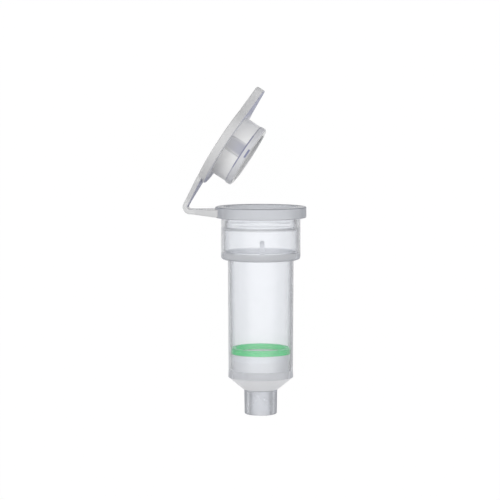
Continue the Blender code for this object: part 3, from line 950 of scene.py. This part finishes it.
@dataclass
class LidAndStrap:
    """The milky part of the moulding: strap, lid plate with its tab, and the hollow plug. Sizes in mm.

    The dark reflection is a painted dark band on the plug's side, and its turn and widths are in degrees.
    """

    shell: ColumnShell
    hinge: Vector
    open_angle: float
    facets: int = 192
    radius: float = 6.2
    thickness: float = 1.15
    edge: float = 0.16
    seat_gap: float = 0.04
    tab_reach: float = 2.56
    tab_root_width: float = 6.8
    tab_tip_width: float = 2.2
    tab_tip_radius: float = 0.9
    plug_slack: float = 0.27
    bead_slack: float = 0.18
    plug_depth: float = 3.15
    plug_wall: float = 0.8
    plug_buried: float = 0.3
    plug_floor_edge: float = 0.2
    plug_floor_width: float = 0.6
    bead_height: float = 0.9
    bead_edge: float = 0.15
    nose: float = 0.4
    strap_thickness: float = 0.66
    strap_root_thickness: float = 1.0
    strap_drop: float = 0.37
    strap_lean: float = math.radians(4.0)
    strap_end_width: float = 5.4
    strap_waist_width: float = 2.2
    strap_waist_length: float = 1.8
    strap_edge: float = 0.12
    strap_buried: float = 1.0
    fold_inner: float = 0.32
    join_gap: float = 0.004
    trim_low: float = -3.0
    trim_high: float = 2.0
    bend_from: float = 0.02
    bend_to: float = 1.0
    taper_steps: int = 14
    fold_steps: int = 28
    face_depth: float = 0.5
    face_slack: float = 0.05
    # Painted shade on the plate's inner face, darker and bluish towards tab and strap.
    face_painted_shade: Pair = (0.15, 0.85)
    face_painted_shade_fade: Pair = (3.85, 4.55)
    face_painted_shade_pale: float = 0.2
    wall_reach: Pair = (-0.02, 0.2)
    # A painted dark reflection down the plug's side: its turn, its fade and its strength.
    dark_reflection_turn: float = 10.0
    dark_reflection_fade: Pair = (8.0, 14.0)
    dark_reflection_cloud: Pair = (0.15, 0.55)
    shaft_look: Look = (0.5, 1.0)
    # The crown line is cloudier all round, and painted darker within line_half of the dark reflection.
    line_width: float = 0.12
    line_haze_and_shade: Pair = (0.75, 0.35)
    line_half: float = 35.0
    # Where the painted dark reflection runs on below the crown.
    reflection_foot_half: float = 8.5
    reflection_foot_drop: float = 0.45
    reflection_foot_look: Look = (0.85, 0.0)
    bead_look: Look = (0.35, 0.5)

    def __post_init__(self) -> None:
        """Works out the plug's radii and levels from the mouth that it fits."""
        self.shaft = self.shell.mouth_radius - self.plug_slack
        self.bead = self.shell.mouth_radius - self.bead_slack
        self.plug_foot = self.seat_gap - self.plug_depth
        self.crown = self.plug_foot + self.bead_height

    def plate(self) -> BMesh:
        """The lid's plate: a circle that runs out into a tapering tab, with softened rims.

        Returns:
            The plate in mm.
        """
        root = self.tab_root_width / 2
        leave = math.asin(root / self.radius)
        count = self.facets - 2 * round(self.facets * leave / math.tau)
        turns = [leave + 2 * (math.pi - leave) * step / count for step in range(count + 1)]
        circle = [Vector((self.radius * math.cos(turn), self.radius * math.sin(turn))) for turn in turns]
        tip, half = self.radius + self.tab_reach, self.tab_tip_width / 2
        foot = self.radius * math.cos(leave)
        corners = [(foot, -root, 0.0), (tip, -half, self.tab_tip_radius), (tip, half, self.tab_tip_radius)]
        tab = rounded([*corners, (foot, root, 0.0)])
        work = prism(circle + tab[1:-1], self.seat_gap, self.seat_gap + self.thickness)
        level = [edge for edge in work.edges if abs(edge.verts[0].co.z - edge.verts[1].co.z) < MERGE_MM]
        soft = {"offset": self.edge, "offset_type": "OFFSET", "segments": 4, "profile": 0.5}
        bmesh.ops.bevel(work, geom=level, affect="EDGES", **soft)
        return work

    def plug(self) -> BMesh:
        """The hollow plug, with its bead and rounded nose.

        Returns:
            The plug in mm.
        """
        shaft, bead, foot, crown = self.shaft, self.bead, self.plug_foot, self.crown
        inner, top = shaft - self.plug_wall, self.seat_gap + self.plug_buried
        corners = [
            (shaft, top, 0.0),
            (shaft, crown, self.bead_edge),
            (bead, crown - (bead - shaft), self.bead_edge),
            (bead, foot, self.nose),
            (inner, foot, self.bead_edge),
            (inner, self.seat_gap, self.plug_floor_edge),
            (inner - self.plug_floor_width, self.seat_gap, 0.0),
            (inner - self.plug_floor_width, top, 0.0),
        ]
        return lathe(rounded(corners), self.facets)

    def strap_path(self) -> list[tuple[Vector, Vector]]:
        """The strap's inner side in the XZ plane, from the flange to the lid.

        Returns:
            Points, each with the way that the strap goes there.
        """
        flange = self.shell.flange_radius
        pivot = Vector((self.hinge.x, self.hinge.z))
        arm = Vector((-self.radius, self.seat_gap + self.thickness - self.strap_thickness)) - pivot
        along_lid = Vector((math.cos(self.open_angle), math.sin(self.open_angle)))
        high = pivot + along_lid * arm.x + Vector((-along_lid.y, along_lid.x)) * arm.y
        slope = self.open_angle + self.strap_lean
        rising = Vector((math.cos(slope), math.sin(slope)))
        corner = high - rising * (high.y + self.strap_drop) / rising.y
        centre = Vector((corner.x + self.fold_inner / math.tan(slope / 2), corner.y + self.fold_inner))
        start, fold_start = Vector((self.strap_buried - flange, corner.y)), Vector((centre.x, corner.y))
        outwards = Vector((-1.0, 0.0))
        shares = [step / self.taper_steps for step in range(self.taper_steps + 1)]
        path = [(start.lerp(fold_start, share), outwards) for share in shares[:-1]]
        for step in range(self.fold_steps + 1):
            turn = -(math.pi - slope) * step / self.fold_steps
            spoke = Vector((math.sin(turn), -math.cos(turn)))
            path.append((centre + spoke * self.fold_inner, Vector((-math.cos(turn), -math.sin(turn)))))
        fold_end, end = path[-1][0], high + rising * self.strap_buried
        return path + [(fold_end.lerp(end, share), rising) for share in shares[1:]]

    def strap(self) -> BMesh:
        """The strap: a thin band that is thickest at the flange and narrows to the fold.

        Returns:
            The strap in mm.
        """
        path = self.strap_path()
        travelled = [0.0]
        for (here, _), (there, _) in zip(path, path[1:]):
            travelled.append(travelled[-1] + (there - here).length)
        middle = travelled[self.taper_steps + self.fold_steps // 2]
        longest = max(middle, travelled[-1] - middle) - self.strap_buried
        work = bmesh.new()
        rings = []
        for (point, direction), distance in zip(path, travelled):
            share = ramp(abs(distance - middle), self.strap_waist_length / 2, longest)
            half = (self.strap_waist_width + (self.strap_end_width - self.strap_waist_width) * share) / 2
            to_flange = ramp(middle - distance, 0.0, middle - self.strap_buried)
            thick = self.strap_thickness + (self.strap_root_thickness - self.strap_thickness) * to_flange
            outer_way = Vector((-direction.y, direction.x))
            sides = [(-half, 0.0), (half, 0.0), (half, thick), (-half, thick)]
            section = rounded([(*side, self.strap_edge) for side in sides], 3)
            ring = [(point.x + outer_way.x * v, u, point.y + outer_way.y * v) for u, v in section]
            rings.append([work.verts.new(corner) for corner in ring])
        for ring, after in zip(rings, rings[1:]):
            for index, corner in enumerate(ring):
                follow = (index + 1) % len(ring)
                work.faces.new((corner, ring[follow], after[follow], after[index]))
        work.faces.new(rings[0])
        work.faces.new(rings[-1])
        return work

    def look(self, middle: Vector, normal: Vector, corner: Vector) -> Look:
        """Paints shade on the plate's inner face towards tab and strap, clouds a line round the bead's crown,
        and paints a dark reflection down the plug's side that darkens that line and runs on below it.

        Args:
            middle: A face's middle, in the lid's mm.
            normal: The face's normal.
            corner: One corner of the face.

        Returns:
            Cloudiness and paleness.
        """
        # Painted shade: the plate's inner face takes the dark bluish cloudy colour towards tab and strap.
        inner_face = normal.z < FACING_DOWN and middle.z > -self.face_depth
        if inner_face and math.hypot(corner.x, corner.y) > self.shaft - self.face_slack:
            low, high = self.face_painted_shade
            return low + (high - low) * ramp(abs(corner.x), *self.face_painted_shade_fade), self.face_painted_shade_pale
        inside, outside = self.wall_reach
        if middle.z > 0 or not inside <= math.hypot(middle.x, middle.y) - self.shaft <= outside:
            return 0.0, 0.0
        # Painted reflection: a dark band down the plug's side that deepens towards the bead's crown, darkens
        # the crown line near it, and runs on below the crown.
        off_dark_reflection = abs(math.degrees(math.atan2(corner.y, corner.x)) + 90 - self.dark_reflection_turn)
        if abs(middle.z - self.crown) < self.line_width:
            return self.line_haze_and_shade[off_dark_reflection >= self.line_half], 0.0
        if middle.z > self.crown:
            low, high = self.dark_reflection_cloud
            strength = low + (high - low) * min(1.0, corner.z / self.crown)
            dark_reflection = (1 - ramp(off_dark_reflection, *self.dark_reflection_fade)) * strength
            return (dark_reflection, 0.0) if dark_reflection else self.shaft_look
        in_reflection_foot = off_dark_reflection < self.reflection_foot_half and middle.z < self.crown - self.reflection_foot_drop
        return self.reflection_foot_look if in_reflection_foot else self.bead_look

    def build(self, place: ColumnFrame, material: Material) -> Object:
        """Makes strap, plate and plug as one mesh, with the strap curved round at its fold.

        Args:
            place: Where the column and the lid lie.
            material: The milky plastic.

        Returns:
            The strap and lid.
        """
        made = solid("lid_and_strap", self.strap(), place.column, material)
        reach, low, high = self.shell.flange_radius + self.join_gap, self.trim_low, self.trim_high
        block = [Vector(point) for point in ((0, high), (reach, high), (reach, low), (0, low))]
        trim = solid("flange_trim", lathe(block, self.facets, closed=False), place.column, None)
        combine(made, [trim], "DIFFERENCE")
        plate = solid("lid_plate", self.plate(), place.lid, None)
        plug = solid("lid_plug", self.plug(), place.lid, None)
        combine(made, [plate, plug], "UNION")
        smooth(made)
        note_looks(made, self.look, place.lid.inverted())
        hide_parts("strap", "lid")
        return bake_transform(made)


@dataclass
class MembraneStack:
    """What the barrel holds: porous frit, silica membrane and the green ring that keeps them down.

    Sizes in mm. The frit's beads are 0.04 to 0.07 mm wide, as in a finely sintered disc.
    """

    shell: ColumnShell
    facets: int = 192
    frit_thickness: float = 1.4
    membrane_thickness: float = 0.85
    membrane_slack: float = 0.012
    membrane_foot_edge: float = 0.005
    ring_thickness: float = 0.74
    ring_wall: float = 0.68
    ring_edge: float = 0.12
    soft_edge: float = 0.03
    fit: float = 0.03
    gap: float = 0.03
    bead_radius: float = 0.035
    beads_per_mm2: float = 16.0
    least_bead: float = 0.55
    seed: int = 7

    def disc(self, radius: float, low: float, high: float, foot_edge: float) -> BMesh:
        """A solid disc with softened rims."""
        rims = [(radius, high, self.soft_edge), (radius, low, foot_edge)]
        return lathe(rounded([(0.0, high, 0.0), *rims, (0.0, low, 0.0)], 4), self.facets, closed=False)

    def strew_beads(self, frit: Object) -> None:
        """Covers the frit's core with sintered beads of mixed sizes.

        Args:
            frit: The core, still in mm.
        """
        work = bmesh.new()
        bmesh.ops.create_icosphere(work, subdivisions=2, radius=self.bead_radius)
        bead = solid("bead", work, Matrix(), None)
        inputs = {
            "Copy": ("NodeSocketObject", bead),
            "Density": ("NodeSocketFloat", self.beads_per_mm2),
            "Least Size": ("NodeSocketFloat", self.least_bead),
            "Seed": ("NodeSocketInt", self.seed),
        }
        Scattered("strewn_beads", inputs).run(frit, frit.data.materials[0])
        bpy.data.objects.remove(bead, do_unlink=True)

    def ring(self, foot: float) -> BMesh:
        """The green ring, with softened edges.

        Args:
            foot: The level that it stands on.

        Returns:
            The ring in mm.
        """
        outer, high = self.shell.bore_radius(foot) - self.fit, foot + self.ring_thickness
        inner = outer - self.ring_wall
        sides = [(inner, high), (outer, high), (outer, foot), (inner, foot)]
        return lathe(rounded([(*side, self.ring_edge) for side in sides], 6), self.facets)

    def lay(self, made: Object, node: str, place: ColumnFrame) -> Object:
        """Lays a finished piece in the barrel in place of its CAD node.

        Args:
            made: The piece, in mm.
            node: The CAD node.
            place: Where the column lies.

        Returns:
            The piece.
        """
        made.data.transform(place.column)
        smooth(made)
        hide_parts(node)
        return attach(made, Body.COLUMN.value)

    def build(self, place: ColumnFrame, dressed: dict[Slot, Material]) -> list[Object]:
        """Makes the three pieces.

        Args:
            place: Where the column lies.
            dressed: The material of each slot.

        Returns:
            Frit, membrane and ring.
        """
        frit_foot = self.shell.ledge + self.gap
        radius = self.shell.bore_radius(frit_foot) - self.fit - self.bead_radius
        crown = frit_foot + self.frit_thickness - self.bead_radius
        core = self.disc(radius, frit_foot + self.bead_radius, crown, self.soft_edge)
        frit = solid("porous_frit", core, Matrix(), dressed[Slot.POROUS])
        self.strew_beads(frit)
        membrane_foot = frit_foot + self.frit_thickness + self.gap
        radius = self.shell.bore_radius(membrane_foot) - self.fit - self.membrane_slack
        high = membrane_foot + self.membrane_thickness
        # The mat reaches down between the beads to the core, so that no line shows between the two.
        mat = self.disc(radius, crown, high, self.membrane_foot_edge)
        membrane = solid("silica_mat", mat, Matrix(), dressed[Slot.SILICA])
        ring = solid("green_ring", self.ring(high + self.gap), Matrix(), dressed[Slot.GREEN])
        return [
            self.lay(frit, "frit", place),
            self.lay(membrane, "membrane", place),
            self.lay(ring, "retaining_ring", place),
        ]


# The studio.


@dataclass(frozen=True)
class Lamp:
    """A soft square lamp, in metres and watts. Only lit surfaces show it: it has no reflection."""

    name: str
    place: Triple
    size: float
    power: float

    def build(self, target: Vector) -> None:
        """Hangs the lamp.

        Args:
            target: What it faces.
        """
        data = bpy.data.lights.new(self.name, "AREA")
        data.size = self.size
        data.energy = self.power
        made = put(self.name, data)
        made.location = self.place
        made.rotation_euler = (target - Vector(self.place)).to_track_quat("-Z", "Y").to_euler()
        made.visible_glossy = False
        made.visible_transmission = False


@dataclass
class Studio:
    """White table, soft lamps, sky and the camera that looks straight down. Sizes in metres."""

    table_width: float = 1.6
    table: StudioFloor = StudioFloor("white light table", "FFFFFF", "3C3E44")
    camera_offset: Vector = field(default_factory=lambda: Vector((-0.001469, -0.005916, 0.3)))
    camera_turn: float = math.radians(-3.3)
    lens: float = 158.85
    clip_start: float = 0.01
    sky_top: str = "FFFFFF"
    sky_side: str = "5C5E66"
    sky_from: float = 0.35
    sky_to: float = 0.9
    sky_strength: float = 0.85
    backdrop: str = "FFFFFF"
    lamps: tuple[Lamp, ...] = (
        Lamp("key", (-0.1, 0.45, 0.5), 0.5, 1.0),
        Lamp("fill", (0.25, -0.45, 0.45), 0.5, 1.0),
        Lamp("left side", (-0.45, 0.0, 0.25), 0.4, 1.5),
        Lamp("right side", (0.45, 0.0, 0.25), 0.4, 1.35),
    )

    def lay_table(self) -> None:
        """Makes the white table that the column lies on."""
        half = self.table_width / 2
        corners = [(-half, -half, 0), (half, -half, 0), (half, half, 0), (-half, half, 0)]
        data = bpy.data.meshes.new("table")
        data.from_pydata(corners, [], [(0, 1, 2, 3)])
        data.materials.append(self.table.build())
        put("table", data)

    def sky(self) -> None:
        """White overhead and grey at the sides, which draws the edges of clear plastic."""
        world = bpy.data.worlds.new("studio sky")
        world.use_nodes = True
        tree = world.node_tree
        tree.nodes.clear()
        way = add(tree, "ShaderNodeTexCoord").outputs["Generated"]
        height = add(tree, "ShaderNodeSeparateXYZ", {0: way}).outputs["Z"]
        steps = {"Value": height, "From Min": self.sky_from, "From Max": self.sky_to}
        share = add(tree, "ShaderNodeMapRange", steps, interpolation_type="SMOOTHSTEP")
        tones = {0: share, 6: srgb(self.sky_side), 7: srgb(self.sky_top)}
        colour = add(tree, "ShaderNodeMix", tones, data_type="RGBA").outputs[2]
        light = add(tree, "ShaderNodeBackground", {"Color": colour, "Strength": self.sky_strength})
        wall = add(tree, "ShaderNodeBackground", {"Color": srgb(self.backdrop)})
        seen = add(tree, "ShaderNodeLightPath").outputs["Is Camera Ray"]
        both = add(tree, "ShaderNodeMixShader", {0: seen, 1: light, 2: wall})
        add(tree, "ShaderNodeOutputWorld", {"Surface": both})
        bpy.context.scene.world = world

    def camera(self, place: ColumnFrame) -> None:
        """Sets the camera above, turned a little about the column, with the mouth towards the picture's top.

        Args:
            place: Where the column lies.
        """
        data = bpy.data.cameras.new("camera")
        data.lens = self.lens
        data.clip_start = self.clip_start
        made = put("camera", data)
        focus = Matrix.Translation(place.column.translation)
        turn = Matrix.Rotation(self.camera_turn, 4, place.column.to_3x3() @ Vector((0.0, 0.0, 1.0)))
        made.matrix_world = focus @ turn @ Matrix.Translation(self.camera_offset)
        bpy.context.scene.camera = made

    def build(self, place: ColumnFrame) -> None:
        """Sets up table, sky, lamps and camera.

        Args:
            place: Where the column lies.
        """
        self.lay_table()
        self.sky()
        for lamp in self.lamps:
            lamp.build(place.column.translation.copy())
        self.camera(place)
        bpy.context.scene.view_settings.view_transform = "Standard"


def main() -> None:
    """Builds every piece in order and reports each one."""
    logging.basicConfig(level=logging.INFO, format="%(message)s")
    place = ColumnFrame.read(frame)
    dressed = {slot: finish.build() for slot, finish in FINISHES.items()}
    shell = ColumnShell()
    lid = LidAndStrap(shell, place.hinge, place.open_angle)
    pieces = [shell.build(place, dressed[Slot.CLEAR]), lid.build(place, dressed[Slot.MILKY])]
    pieces += MembraneStack(shell).build(place, dressed)
    for piece in pieces:
        LOG.info("%s: %d faces", piece.name, len(piece.data.polygons))
    Studio().build(place)


if __name__ == "__main__":
    main()
